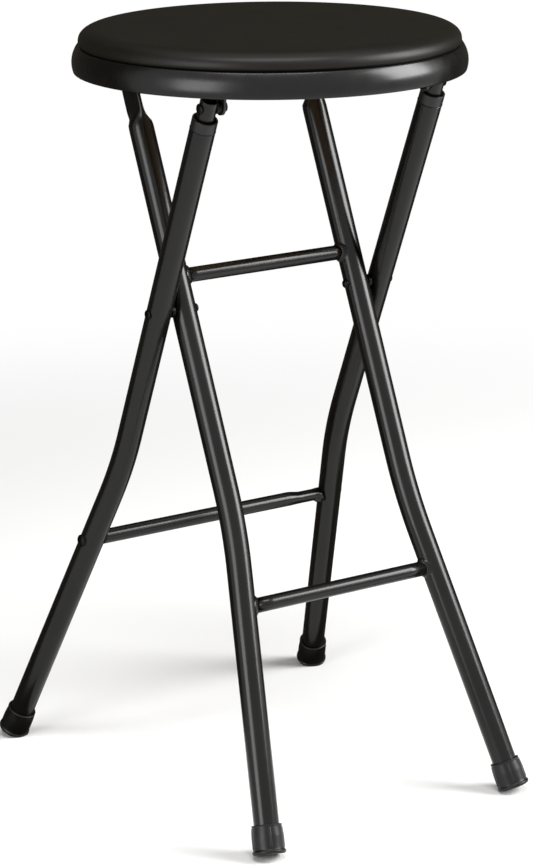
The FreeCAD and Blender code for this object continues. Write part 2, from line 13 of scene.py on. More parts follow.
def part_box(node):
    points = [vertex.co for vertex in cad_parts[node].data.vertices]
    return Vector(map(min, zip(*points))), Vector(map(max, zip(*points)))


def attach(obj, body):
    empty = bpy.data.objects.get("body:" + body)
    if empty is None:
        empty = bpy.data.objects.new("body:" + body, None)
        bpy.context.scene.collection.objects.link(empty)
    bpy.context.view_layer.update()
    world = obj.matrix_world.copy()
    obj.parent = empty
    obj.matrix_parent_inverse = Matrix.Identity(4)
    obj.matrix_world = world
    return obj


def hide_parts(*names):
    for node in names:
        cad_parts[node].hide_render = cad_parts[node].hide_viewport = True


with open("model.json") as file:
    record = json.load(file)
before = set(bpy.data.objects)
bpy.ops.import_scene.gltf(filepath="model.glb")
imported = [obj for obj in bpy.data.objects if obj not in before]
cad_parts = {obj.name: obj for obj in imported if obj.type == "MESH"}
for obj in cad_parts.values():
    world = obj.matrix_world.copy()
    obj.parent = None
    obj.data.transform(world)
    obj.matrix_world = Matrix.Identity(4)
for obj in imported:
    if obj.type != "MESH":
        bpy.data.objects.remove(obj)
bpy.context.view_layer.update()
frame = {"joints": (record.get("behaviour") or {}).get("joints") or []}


# Outer legs
# Two drawn steel tubes, bent outwards below the pivots and dipped in black lacquer. Their upper ends
# stay open for the struts, and a fine bead runs round each lip where the sleeve begins.
MM = 0.001
OUTER, INNER = 1, -1           # the way each frame leans
SIDES = {"left": -1, "right": 1}

joints = {joint["name"]: joint for joint in frame["joints"]}
centre_height = joints["frame_fold"]["pos_m"][2]
seat_pivot_y, seat_pivot_z = joints["seat_tilt"]["pos_m"][1:]
frame_lean = math.atan2(seat_pivot_y, seat_pivot_z - centre_height)
pivot_reach = math.hypot(seat_pivot_y, seat_pivot_z - centre_height)
strut_low, strut_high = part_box("strut_right")
outer_half_width = (strut_low.x + strut_high.x) / 2

tube_radius = 10 * MM
tube_wall = 1.2 * MM
tube_lip_round = 0.5 * MM
tube_bead = 0.3 * MM
tube_columns = 56
tube_row_step = 8 * MM
corner_share = 0.3             # the most of a side that rounding takes
easing_share = 0.4             # of the cut, to the point beside it that keeps the flat
leg_gap = 3 * MM
inner_half_width = outer_half_width - 2 * tube_radius - leg_gap
leg_top = pivot_reach - 18 * MM
tube_end_above_sole = 6 * MM

# Middle of each frame's tilted soles above the floor
sole_rise = {OUTER: 3.713 * MM, INNER: 3.603 * MM}

# Half width above the bend, bend below the pivot, outward turn and bend radius of each frame's legs
leg_shapes = {
    OUTER: (outer_half_width, 152 * MM, math.radians(9.9), 350 * MM),
    INNER: (inner_half_width, 177.5 * MM, math.radians(8.2), 450 * MM),
}


def stand_up(points, frame_sign):
    """Leans frame coordinates, X across, Y out of the frame and Z up it, about the centre pivots: a turn
    round X by the lean, then a rise to the pivots' height."""
    lean = frame_sign * frame_lean
    x, y, z = np.moveaxis(np.asarray(points, float), -1, 0)
    return np.stack([x, y * math.cos(lean) - z * math.sin(lean),
                     y * math.sin(lean) + z * math.cos(lean) + centre_height], axis=-1)


def leg_line(frame_sign, side, drop):
    """Centre line of a leg at distances below the centre pivot: straight, then a circular arc that turns
    outwards by the splay, then straight again. Gives points and unit directions up the leg."""
    half_width, bend_drop, splay, bend_radius = leg_shapes[frame_sign]
    bend_start = bend_drop - bend_radius * math.tan(splay / 2)
    along = np.asarray(drop, float) - bend_start
    turn = np.clip(along / bend_radius, 0, splay)
    beyond = np.maximum(along - bend_radius * splay, 0)
    x = half_width + bend_radius * (1 - np.cos(turn)) + beyond * np.sin(turn)
    z = -bend_start - bend_radius * np.sin(turn) - beyond * np.cos(turn) - np.minimum(along, 0)
    zero = np.zeros_like(x)
    return np.stack([side * x, zero, z], -1), np.stack([-side * np.sin(turn), zero, np.cos(turn)], -1)


def leg_length(frame_sign):
    """Distance along a leg from the centre pivot to the middle of its sole."""
    _, bend_drop, splay, bend_radius = leg_shapes[frame_sign]
    drop = (centre_height - sole_rise[frame_sign]) / math.cos(frame_lean)
    straight = (drop - bend_drop) / math.cos(splay)
    return bend_drop + straight + bend_radius * (splay - 2 * math.tan(splay / 2))


def carried(centres, ups, section):
    """A section carried along a line: each row's points are the centre plus the section's first
    coordinate across the line, in its plane, and its second out of that plane."""
    out = np.array([0.0, 1.0, 0.0])
    across = np.cross(out, ups)
    return centres[:, None] + section[..., :1] * across[:, None] + section[..., 1:] * out


def circles(radii, columns):
    """Round sections: radius times the cosine and sine of evenly spaced angles."""
    angle = np.linspace(0, 2 * math.pi, columns, endpoint=False)
    return np.asarray(radii)[:, None, None] * np.stack([np.cos(angle), np.sin(angle)], -1)


def rounded(corners, size, steps=4, closed=True):
    """A profile of corners with each one rounded: a quadratic curve from one side to the other, with one
    more point on either side that keeps the flats flat. Open profiles keep their ends."""
    corners = np.asarray(corners, float)
    count = len(corners)
    share = np.linspace(0, 1, steps + 1)[:, None]
    pieces = [] if closed else [corners[:1]]
    for index in range(count) if closed else range(1, count - 1):
        corner = corners[index]
        before, after = corners[index - 1] - corner, corners[(index + 1) % count] - corner
        shorter = min(np.hypot(*before), np.hypot(*after))
        cut = min(size, corner_share * shorter)
        guard = easing_share * cut
        before, after = before / np.hypot(*before), after / np.hypot(*after)
        start, end = corner + before * cut, corner + after * cut
        curve = start * (1 - share) ** 2 + 2 * corner * share * (1 - share) + end * share ** 2
        pieces.append(np.concatenate([start[None] + before * guard, curve, end[None] + after * guard]))
    if not closed:
        pieces.append(corners[-1:])
    return np.concatenate(pieces)


def refined(profile, step, closed=True):
    """The same profile with its long runs cut into equal parts, none longer than the step."""
    nexts = np.roll(profile, -1, axis=0) if closed else profile[1:]
    parts = []
    for start, end in zip(profile, nexts):
        cuts = max(1, math.ceil(np.hypot(*(end - start)) / step))
        parts.append(start + (end - start) * np.linspace(0, 1, cuts, endpoint=False)[:, None])
    if not closed:
        parts.append(profile[-1:])
    return np.concatenate(parts)


def surface(name, points, material, body, replaced=(), ring=False, around=True):
    """A piece from a grid of points. Rows run up its outside and columns anticlockwise round them, so
    the faces point outwards. A row at a single point is a pole. A ring's last row joins its first."""
    points = np.asarray(points, float)
    rows, columns = points.shape[:2]
    index = np.arange(rows * columns).reshape(rows, columns)
    pole = np.ptp(points, axis=1).max(axis=1) < 1e-9
    index[pole] = index[pole][:, :1]
    if ring:
        index = np.vstack([index, index[:1]])
        pole = np.append(pole, pole[0])
    if around:
        index = np.hstack([index, index[:, :1]])
    quads = np.stack([index[:-1, :-1], index[:-1, 1:], index[1:, 1:], index[1:, :-1]], -1)
    low, high = pole[:-1], pole[1:]
    full = quads[~low & ~high].reshape(-1, 4)
    fans = np.concatenate([quads[low & ~high][..., [0, 2, 3]].reshape(-1, 3),
                           quads[high & ~low][..., [0, 1, 2]].reshape(-1, 3)])
    used, places = np.unique(np.concatenate([full.ravel(), fans.ravel()]), return_inverse=True)
    mesh = bpy.data.meshes.new(name)
    faces = places[:full.size].reshape(-1, 4).tolist() + places[full.size:].reshape(-1, 3).tolist()
    mesh.from_pydata(points.reshape(-1, 3)[used].tolist(), [], faces)
    mesh.shade_smooth()
    mesh.materials.append(material)
    piece = bpy.data.objects.new(name, mesh)
    bpy.context.scene.collection.objects.link(piece)
    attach(piece, body)
    if replaced:
        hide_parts(*replaced)
    return piece


def linear(colour):
    """A linear colour from an sRGB hex value."""
    values = [int(colour[place:place + 2], 16) / 255 for place in (1, 3, 5)]
    return [v / 12.92 if v <= 0.04045 else ((v + 0.055) / 1.055) ** 2.4 for v in values] + [1.0]


def add(tree, kind, inputs=None, **settings):
    """Adds a node with its settings. Each input gets a value, or the output that feeds it."""
    node = tree.nodes.new(kind)
    for name, value in settings.items():
        setattr(node, name, value)
    for name, value in (inputs or {}).items():
        if isinstance(value, bpy.types.NodeSocket):
            tree.links.new(value, node.inputs[name])
        else:
            node.inputs[name].default_value = value
    return node


def empty_material(name):
    """A material with nothing in it, its node tree and an output to link to."""
    material = bpy.data.materials.new(name)
    material.use_nodes = True
    tree = material.node_tree
    tree.nodes.clear()
    return material, tree


def coat(tree, relief, strength, depth, inputs, raised=True):
    """Closes a material: a Principled surface with the inputs, bumped by a relief of some strength and
    depth, raised or sunk."""
    bump = add(tree, "ShaderNodeBump", {"Height": relief, "Strength": strength, "Distance": depth},
               invert=not raised)
    shader = add(tree, "ShaderNodeBsdfPrincipled", {**inputs, "Normal": bump.outputs["Normal"]})
    add(tree, "ShaderNodeOutputMaterial", {"Surface": shader.outputs["BSDF"]})


def lacquered_steel():
    """Stoved black lacquer, dipped and baked. It gives long soft-edged streaks along the tubes, broken a
    little by orange peel."""
    material, tree = empty_material("lacquered_steel")
    place = add(tree, "ShaderNodeTexCoord").outputs["Object"]
    peel = add(tree, "ShaderNodeTexNoise", {"Vector": place, "Scale": 1 / (3.5 * MM), "Detail": 2.0})
    patches = add(tree, "ShaderNodeTexNoise", {"Vector": place, "Scale": 1 / (60 * MM), "Detail": 4.0})
    tone = add(tree, "ShaderNodeValToRGB", {"Fac": patches.outputs["Fac"]})
    tone.color_ramp.elements[0].position = 0.3
    tone.color_ramp.elements[0].color = linear("#090807")
    tone.color_ramp.elements[1].position = 0.7
    tone.color_ramp.elements[1].color = linear("#0d0c0b")
    rough = add(tree, "ShaderNodeMapRange", {
        "Value": patches.outputs["Fac"], "From Min": 0.3, "From Max": 0.7,
        "To Min": 0.19, "To Max": 0.25})
    coat(tree, peel.outputs["Fac"], 0.05, 0.05 * MM, {
        "Base Color": tone.outputs["Color"], "Roughness": rough.outputs["Result"], "IOR": 1.36})
    return material


frame_lacquer = lacquered_steel()


def outer_leg(side_name, side):
    """Tube wall as a ring of radius and drop, with a bead at its lip, carried along the leg's line."""
    bottom = leg_length(OUTER) - tube_end_above_sole
    bore = tube_radius - tube_wall
    wall = rounded([
        (tube_radius, bottom), (tube_radius, -leg_top + 2 * tube_bead),
        (tube_radius + tube_bead, -leg_top + tube_bead), (tube_radius, -leg_top), (bore, -leg_top),
        (bore, bottom)], tube_lip_round)
    wall = refined(wall, tube_row_step)
    line, up = leg_line(OUTER, side, wall[:, 1])
    points = stand_up(carried(line, up, circles(wall[:, 0], tube_columns)), OUTER)
    node = "outer_leg_" + side_name
    surface(node + "_tube", points, frame_lacquer, "outer_frame", [node], ring=True)


for side_name, side in SIDES.items():
    outer_leg(side_name, side)


# Inner legs
# The same tube, its upper end pressed flat in a die so that it can be bolted between the seat's
# brackets. The flat lies towards the tube's outer side, and its end is cut round.
press_start = pivot_reach - 38 * MM
press_end = pivot_reach - 24 * MM
flat_thickness = 3.2 * MM
flat_width = 23.6 * MM
flat_offset = 1.9 * MM
slot_thickness = 0.6 * MM
slot_end = 1 * MM              # from the start of the flat to the closed end of the bore


def flat_section(thickness, width, columns):
    """Slot shape, two half circles joined by straight lines, its points evenly spaced round the edge."""
    cap = thickness / 2
    half_circle = cap * np.exp(1j * np.linspace(0, math.pi, 24))
    centre = 1j * (width / 2 - cap)
    outline = np.concatenate([[cap], centre + half_circle, -centre - half_circle, [cap]])
    length = np.append(0, np.cumsum(np.abs(np.diff(outline))))
    place = np.linspace(0, length[-1], columns, endpoint=False)
    return np.stack([np.interp(place, length, outline.real), np.interp(place, length, outline.imag)], -1)


def pressed_rows(side, radius, thickness, width, drops):
    """Sections of the pressed end: the circle mixed with the flat by how far the pressing has gone, and
    the flat moved outwards by its offset."""
    share = np.clip((-drops - press_start) / (press_end - press_start), 0, 1)
    share = share * share * (3 - 2 * share)
    flat = flat_section(thickness, width, tube_columns)
    sections = circles(np.full(len(drops), radius), tube_columns) * (1 - share)[:, None, None]
    sections = sections + flat * share[:, None, None]
    sections[..., 0] += (side * flat_offset * share)[:, None]
    return sections


def inner_leg(side_name, side):
    """One skin from the closed end of the bore down the inside, round the lower lip, up the outside and
    over the pressed tip, whose width shrinks as a circle's chord."""
    bottom = leg_length(INNER) - tube_end_above_sole
    bore = tube_radius - tube_wall
    reach = refined(np.array([(0, -press_end), (0, bottom)]), tube_row_step / 2, closed=False)[:, 1]
    inside = pressed_rows(side, bore, slot_thickness, flat_width - 2 * tube_wall, reach)
    outside = pressed_rows(side, tube_radius, flat_thickness, flat_width, reach[::-1])
    tip_turn = np.radians([0, 12, 24, 36, 48, 58, 67, 75, 81, 86])
    tip_drops = -pivot_reach - flat_width / 2 * np.sin(tip_turn)
    tip = pressed_rows(side, tube_radius, flat_thickness, flat_width, tip_drops)
    tip[..., 1] *= np.cos(tip_turn)[:, None]
    end_drops = np.array([-press_end - slot_end, -pivot_reach - flat_width / 2])
    ends = pressed_rows(side, 0, 0, 0, end_drops)
    sections = np.concatenate([ends[:1], inside, outside, tip, ends[1:]])
    drops = np.concatenate([end_drops[:1], reach, reach[::-1], tip_drops, end_drops[1:]])
    line, up = leg_line(INNER, side, drops)
    points = stand_up(carried(line, up, sections), INNER)
    node = "inner_leg_" + side_name
    surface(node + "_tube", points, frame_lacquer, "inner_frame", [node])


for side_name, side in SIDES.items():
    inner_leg(side_name, side)


# Crossbars
# Thinner tube of the same steel. Two bars are coped and welded between the inner legs. The bar between
# the outer legs is held by a rivet through each leg, and its right end is drawn in from above and flares
# downwards where it sits on the leg.
bar_radius = 6 * MM
bar_wall = 1 * MM
bar_columns = 48
upper_bar_rise = 26.5 * MM
lower_bar_drop = 239.7 * MM
riveted_bar_drop = 225.7 * MM
neck_radius = 5.1 * MM
saddle_radius = 6.5 * MM
plain_rows = 20
neck_row_gap = 4 * MM

# Starts and ends of the neck and of the flare, from the leg's axis
neck_start = 44 * MM
neck_end = 30 * MM
flare_start = 18 * MM
flare_end = 12 * MM


def coped_end(frame_sign, height, radius, angle):
    """Distance along X from the middle plane to the leg's skin, at an angle round a bar of some radius:
    the leg's axis there less the half chord of the tube."""
    half_width, bend_drop, splay, _ = leg_shapes[frame_sign]
    below = np.maximum(-(height + radius * np.sin(angle)) - bend_drop, 0)
    slant = np.where(-height > bend_drop, math.cos(splay), 1.0)
    chord = np.sqrt(tube_radius ** 2 - (radius * np.cos(angle)) ** 2)
    return half_width + below * math.tan(splay) - chord / slant


def crossbar(name, frame_sign, height, places, radii, body, shifts=0.0):
    """Tube along X: rows at the given places and radii, outwards along the skin and back through the
    bore, each shifted downwards and cut off where it meets the leg."""
    angle = np.linspace(0, 2 * math.pi, bar_columns, endpoint=False)[None]
    radius = np.concatenate([radii, radii[::-1] - bar_wall])[:, None]
    place = np.concatenate([places, places[::-1]])[:, None]
    shifts = np.zeros(len(radii)) + shifts
    middle = height - np.concatenate([shifts, shifts[::-1]])[:, None]
    x = np.sign(place) * np.minimum(np.abs(place), coped_end(frame_sign, middle, radius, angle))
    points = np.stack([x, radius * np.cos(angle), middle + radius * np.sin(angle)], -1)
    surface(name + "_tube", stand_up(points, frame_sign), frame_lacquer, body, [name],
            ring=True)


past_leg = 2 * outer_half_width
even_places = np.linspace(-0.8, 0.8, plain_rows) * inner_half_width
even_places = np.concatenate([[-past_leg], even_places, [past_leg]])
for name, height in (("inner_upper_bar", upper_bar_rise), ("inner_lower_bar", -lower_bar_drop)):
    crossbar(name, INNER, height, even_places, np.full(len(even_places), bar_radius), "inner_frame")

# The riveted bar: plain rows, the neck, its middle, the flare and a row past the leg
_, bend_drop, splay, _ = leg_shapes[OUTER]
rivet_axis = outer_half_width + (riveted_bar_drop - bend_drop) * math.tan(splay)
share = np.linspace(0, 1, 9)
smooth = share * share * (3 - 2 * share)
neck_shift = bar_radius - neck_radius
flare_growth = saddle_radius - neck_radius
riveted_places = np.concatenate([
    [-past_leg], np.linspace(-0.9 * rivet_axis, rivet_axis - neck_start - neck_row_gap, plain_rows - 1),
    rivet_axis - neck_start + (neck_start - neck_end) * share,
    [rivet_axis - (neck_end + flare_start) / 2],
    rivet_axis - flare_start + (flare_start - flare_end) * share, [past_leg]])
riveted_radii = np.concatenate([
    np.full(plain_rows, bar_radius), bar_radius - neck_shift * smooth, [neck_radius],
    neck_radius + flare_growth * smooth, [saddle_radius]])
riveted_shifts = np.concatenate([
    np.zeros(plain_rows), neck_shift * smooth, [neck_shift], neck_shift + flare_growth * smooth,
    [neck_shift + flare_growth]])
crossbar("outer_bar", OUTER, -riveted_bar_drop, riveted_places, riveted_radii, "outer_frame",
         riveted_shifts)


# Welds
# A fillet of weld round each end of the two inner bars, laid in overlapping pools and lacquered with
# the frame.
weld_leg = 2.2 * MM
weld_bulge = 0.35 * MM
weld_sunk = 0.5 * MM
weld_pools = 24
pool_swing = 0.35              # of the bulge
pool_skew = 2.5                # radians that a pool lags from the bar to the leg
weld_columns = 144


def weld(name, side, height):
    """Ring round the bar's end: from the bar to the leg in a slightly bulging line, whose height swings
    with the pools, and back inside the metal."""
    angle = np.linspace(0, 2 * math.pi, weld_columns, endpoint=False)[None]
    share = np.linspace(0, 1, 9)[:, None]
    on_bar = coped_end(INNER, height, bar_radius, angle) - weld_leg
    on_leg = coped_end(INNER, height, bar_radius + weld_leg, angle)
    pool = 1 + pool_swing * np.cos(weld_pools * angle + pool_skew * share)
    lift = weld_bulge * np.sin(math.pi * share) * pool / math.sqrt(2)
    x = on_bar + (on_leg - on_bar) * share - lift
    radius = bar_radius + weld_leg * share + lift
    hidden = coped_end(INNER, height, bar_radius - weld_sunk, angle) + weld_sunk
    x = np.concatenate([x, on_leg + weld_sunk, hidden, on_bar])
    radius = np.concatenate([radius, radius[-1:], radius[:1] - weld_sunk, radius[:1] - weld_sunk])
    points = np.stack([side * x, radius * np.cos(angle), height + radius * np.sin(angle)], -1)
    if side < 0:
        points = points[::-1]
    surface(name, stand_up(points, INNER), frame_lacquer, "inner_frame", ["frame_welds"],
            ring=True)


for side_name, side in SIDES.items():
    weld("upper_weld_" + side_name, side, upper_bar_rise)
    weld("lower_weld_" + side_name, side, -lower_bar_drop)


# Rivets, bolts, nuts and spacers
# Blackened steel fasteners: low domed heads outside, hexagonal nuts inside, and turned spacers that
# keep the two frames, the struts and the seat's brackets apart. Rivets hold the frames together.
bolt_radius = 2.5 * MM
head_radius = 4.2 * MM
head_height = 1.8 * MM
head_edge_share = 0.25         # of a head's height, upright at its edge
dome_power = 1.2
centre_rivet_radius = 3 * MM
centre_head = (4 * MM, 1.5 * MM)
centre_tail = (3.7 * MM, 3 * MM)
rivet_radius = 2.5 * MM
rivet_heads = {"left": (5.2 * MM, 2.6 * MM), "right": (3.2 * MM, 0.8 * MM)}
rivet_sunk = 2.4 * MM
rivet_reach = 5 * MM           # past the leg's inner side
nut_width = 8 * MM
nut_height = 3 * MM
bolt_end = 0.5 * MM
turning_gap = 0.2 * MM
spacer_radius = 5 * MM
hardware_columns = 48
edge_round = 0.4 * MM


def blackened_steel():
    """Cold-headed steel, blackened and oiled. It gives a dark metal with a broad soft shine and fine
    rubbing marks."""
    material, tree = empty_material("blackened_steel")
    place = add(tree, "ShaderNodeTexCoord").outputs["Object"]
    mottle = add(tree, "ShaderNodeTexNoise", {"Vector": place, "Scale": 1 / (2 * MM), "Detail": 5.0})
    tone = add(tree, "ShaderNodeValToRGB", {"Fac": mottle.outputs["Fac"]})
    tone.color_ramp.elements[0].position = 0.35
    tone.color_ramp.elements[0].color = linear("#161616")
    tone.color_ramp.elements[1].position = 0.7
    tone.color_ramp.elements[1].color = linear("#262525")
    rough = add(tree, "ShaderNodeMapRange", {
        "Value": mottle.outputs["Fac"], "From Min": 0.3, "From Max": 0.7,
        "To Min": 0.28, "To Max": 0.42})
    coat(tree, mottle.outputs["Fac"], 0.2, 0.04 * MM, {
        "Base Color": tone.outputs["Color"], "Roughness": rough.outputs["Result"], "Metallic": 1.0})
    return material


fastener_steel = blackened_steel()


def turned(profile, start, direction, columns=hardware_columns):
    """A profile of radius and height turned about an axis: start plus height along the axis plus radius
    times a unit vector that goes round it."""
    axis = np.asarray(direction, float) / np.linalg.norm(direction)
    helper = np.array([0.0, 0.0, 1.0]) if abs(axis[2]) < 0.9 else np.array([1.0, 0.0, 0.0])
    first = np.cross(helper, axis)
    first /= np.linalg.norm(first)
    second = np.cross(axis, first)
    profile = np.asarray(profile, float)
    spokes = circles(profile[:, 0], columns)
    return (np.asarray(start, float) + profile[:, None, 1:] * axis
            + spokes[..., :1] * first + spokes[..., 1:] * second)


def dome(radius, height):
    """Points from a head's edge to its middle: a short edge, then a height that follows a cosine."""
    turn = np.linspace(math.pi / 2, 0, 14)
    edge = head_edge_share * height
    points = np.stack([radius * np.sin(turn), edge + (height - edge) * np.cos(turn) ** dome_power], -1)
    points[-1, 0] = 0
    return points


def headed_pin(name, place, direction, length, radius, head, height, body, replaced, sunk=0.0):
    """Pin with its head towards a direction: shank, flat under the head, then a dome, turned round."""
    shank = rounded([(0, -length), (radius, -length), (radius, -sunk), (head, -sunk),
                     (head, head_edge_share * height)], edge_round, closed=False)
    profile = np.concatenate([shank, dome(head, height)[1:]])
    surface(name, turned(profile, place, direction), fastener_steel, body, replaced)


def nut(name, place, direction, body, replaced):
    """Hexagonal nut on a face, away from it along the direction: a hexagon's radius by angle, cut down
    from the corners' circle by a chamfer at both ends, round a bore that the bolt fills."""
    columns = 72
    angle = np.linspace(0, 2 * math.pi, columns, endpoint=False)[None]
    sixth = math.pi / 3
    hexagon = nut_width / 2 / np.cos((angle + sixth / 2) % sixth - sixth / 2)
    corner = nut_width / math.sqrt(3)
    level_shares = np.array([0, 0, 0.05, 0.12, 0.18, 0.26])
    cuts = np.array([3, 0.75, 0.45, 0.2, 0.08, 0]) * MM
    heights = np.append(level_shares, 1 - level_shares[::-1])[:, None] * nut_height
    radius = np.minimum(hexagon, corner - np.append(cuts, cuts[::-1])[:, None])
    radius[[0, -1]] = bolt_radius
    unit = turned(np.stack([np.ones(len(heights)), heights[:, 0]], -1), (0, 0, 0), direction, columns)
    axis = np.asarray(direction, float)
    along = heights[:, None] * axis
    points = np.asarray(place, float) + along + (unit - along) * radius[..., None]
    surface(name, points, fastener_steel, body, replaced, ring=True)


def ring_piece(name, bore, radius, place, direction, length, material, body, replaced):
    """Turned ring: a rounded rectangle of radius and height turned about its axis."""
    profile = rounded([(bore, 0), (radius, 0), (radius, length), (bore, length)], edge_round)
    surface(name, turned(profile, place, direction), material, body, replaced, ring=True)


leg_skin = outer_half_width + tube_radius
inner_face = inner_half_width - tube_radius
for side_name, side in SIDES.items():
    length = leg_skin + turning_gap - inner_face
    tail = dome(*centre_tail)[::-1] * [1, -1] - [0, length]
    shank = rounded([tail[-1], (centre_tail[0], -length), (centre_rivet_radius, -length),
                     (centre_rivet_radius, 0), (centre_head[0], 0),
                     (centre_head[0], head_edge_share * centre_head[1])], edge_round, closed=False)
    profile = np.concatenate([tail, shank[1:], dome(*centre_head)[1:]])
    head_place = (side * (leg_skin + turning_gap), 0, centre_height)
    surface("centre_rivet_dressed_" + side_name, turned(profile, head_place, (side, 0, 0)),
            fastener_steel, "inner_frame", ["centre_rivet_" + side_name])
    spacer_place = (side * (inner_half_width + tube_radius), 0, centre_height)
    ring_piece("centre_spacer_" + side_name, centre_rivet_radius, spacer_radius, spacer_place,
               (side, 0, 0), leg_gap - turning_gap, fastener_steel, "inner_frame", ["centre_spacers"])

rivet_skin = rivet_axis + tube_radius / math.cos(splay)
for side_name, side in SIDES.items():
    rivet_place = stand_up([side * rivet_skin, 0, -riveted_bar_drop], OUTER)
    headed_pin("bar_rivet_" + side_name, rivet_place, (side, 0, 0),
               2 * (rivet_skin - rivet_axis) + rivet_reach, rivet_radius, *rivet_heads[side_name],
               "outer_frame", ["bar_rivets"], rivet_sunk)


# Sleeves in the legs' mouths
# Moulded black acetal, pressed into each outer leg until its collar sits on the tube. The strut slides
# in it, with a wider mouth at the top.
strut_radius = 7 * MM
strut_wall = 1.2 * MM
slide_play = 0.2 * MM
sleeve_mouth = pivot_reach - 9 * MM
sleeve_mouth_radius = 8.2 * MM
sleeve_mouth_depth = 2 * MM
sleeve_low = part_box("slide_bush_right")[0]
sleeve_round = 0.5 * MM


def moulded_plastic(name, colour, second_colour, roughness, grain):
    """Injection-moulded plastic. It gives a dense colour and a low, even shine that a fine spark-eroded
    grain breaks up."""
    material, tree = empty_material(name)
    place = add(tree, "ShaderNodeTexCoord").outputs["Object"]
    texture = add(tree, "ShaderNodeTexNoise", {"Vector": place, "Scale": 1 / grain, "Detail": 3.0})
    tone = add(tree, "ShaderNodeValToRGB", {"Fac": texture.outputs["Fac"]})
    tone.color_ramp.elements[0].position = 0.35
    tone.color_ramp.elements[0].color = linear(colour)
    tone.color_ramp.elements[1].position = 0.7
    tone.color_ramp.elements[1].color = linear(second_colour)
    rough = add(tree, "ShaderNodeMapRange", {
        "Value": texture.outputs["Fac"], "From Min": 0.3, "From Max": 0.7,
        "To Min": roughness - 0.06, "To Max": roughness + 0.06})
    coat(tree, texture.outputs["Fac"], 0.25, 0.06 * MM, {
        "Base Color": tone.outputs["Color"], "Roughness": rough.outputs["Result"], "IOR": 1.4})
    return material


acetal = moulded_plastic("moulded_acetal", "#0d0e0f", "#141516", 0.36, 0.8 * MM)


def frame_place(frame_sign, x, height):
    """A point of a frame's own coordinates, and the unit vector up the frame."""
    up = stand_up([0, 0, 1.0], frame_sign) - stand_up([0, 0, 0.0], frame_sign)
    return stand_up([x, 0, height], frame_sign), up


sleeve_bore = strut_radius + slide_play
tube_bore = tube_radius - tube_wall
sleeve_foot = (sleeve_low.z - centre_height + tube_bore * math.sin(frame_lean)) / math.cos(frame_lean)
for side_name, side in SIDES.items():
    axis_point, up = frame_place(OUTER, side * outer_half_width, 0)
    profile = rounded([
        (sleeve_bore, sleeve_foot), (tube_bore, sleeve_foot), (tube_bore, leg_top),
        (tube_radius, leg_top), (tube_radius, sleeve_mouth), (sleeve_mouth_radius, sleeve_mouth),
        (sleeve_mouth_radius, sleeve_mouth - sleeve_mouth_depth / 2),
        (sleeve_bore, sleeve_mouth - sleeve_mouth_depth)], sleeve_round)
    surface("slide_sleeve_" + side_name, turned(profile, axis_point, up, tube_columns), acetal,
            "outer_frame", ["slide_bush_" + side_name], ring=True)


# Struts
# Straight lacquered tubes that slide in the outer legs. A bolt through the top of each one carries the
# front of the seat, with a spacer beside the seat's bracket. A moulded plug pressed into the lower end
# guides the strut in the leg's bore and stops it at the sleeve.
strut_bottom = 7.35 * MM
plug_head_height = 4 * MM
plug_spigot_height = 12 * MM
strut_top = pivot_reach + 7 * MM
spacer_seat_share = 0.8        # of the strut's radius, where the spacer meets its curve
plate_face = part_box("seat_bracket_right")[1].x
open_gap = 0.3 * MM
for side_name, side in SIDES.items():
    axis_point, up = frame_place(OUTER, side * outer_half_width, 0)
    wall = rounded([(strut_radius, strut_bottom), (strut_radius, strut_top),
                    (strut_radius - strut_wall, strut_top), (strut_radius - strut_wall, strut_bottom)],
                   edge_round)
    body = "strut_" + side_name
    surface(body + "_tube", turned(wall, axis_point, up), frame_lacquer, body, [body],
            ring=True)
    bolt_place = (side * (outer_half_width + strut_radius), -seat_pivot_y, seat_pivot_z)
    headed_pin("strut_pin_" + side_name, bolt_place, (side, 0, 0),
               outer_half_width + strut_radius - plate_face - open_gap, bolt_radius, head_radius,
               head_height, body, ["strut_bolt_" + side_name])
    spacer_length = outer_half_width - plate_face - open_gap - spacer_seat_share * strut_radius
    ring_piece("strut_collar_" + side_name, bolt_radius, spacer_radius,
               (side * (plate_face + open_gap), -seat_pivot_y, seat_pivot_z), (side, 0, 0),
               spacer_length, fastener_steel, body, ["strut_spacer_" + side_name])
    plug = rounded([
        (0, strut_bottom - plug_head_height), (tube_bore - slide_play, strut_bottom - plug_head_height),
        (tube_bore - slide_play, strut_bottom), (strut_radius - strut_wall, strut_bottom),
        (strut_radius - strut_wall, strut_bottom + plug_spigot_height),
        (0, strut_bottom + plug_spigot_height)], edge_round, closed=False)
    surface("strut_stop_" + side_name, turned(plug, axis_point, up), acetal, body,
            ["strut_plug_" + side_name])


# Foot caps
# Black rubber ferrules pushed over the legs' ends. Each has a low flange, a sleeve with four fine ribs
# and a lip at the top, and its tilted sole is worn flat where it meets the floor.
cap_length = 23 * MM
cap_top_radius = 11.7 * MM
cap_waist_radius = 12.3 * MM
cap_waist_height = 14 * MM
cap_flange_radius = 13.2 * MM
cap_flange_height = 3 * MM
cap_sole_round = 2 * MM
cap_sole_share = 0.98          # of the flat sole, before its rounded edge
cap_ease = 0.3 * MM
cap_fillet = 1 * MM
cap_lip = 1.2 * MM
cap_lip_bulge = 0.35 * MM
cap_mouth_chamfer = 0.4 * MM
cap_columns = 144
rib_count = 4
rib_height = 0.6 * MM
rib_width = 0.45 * MM
rib_turn = math.radians(-24)


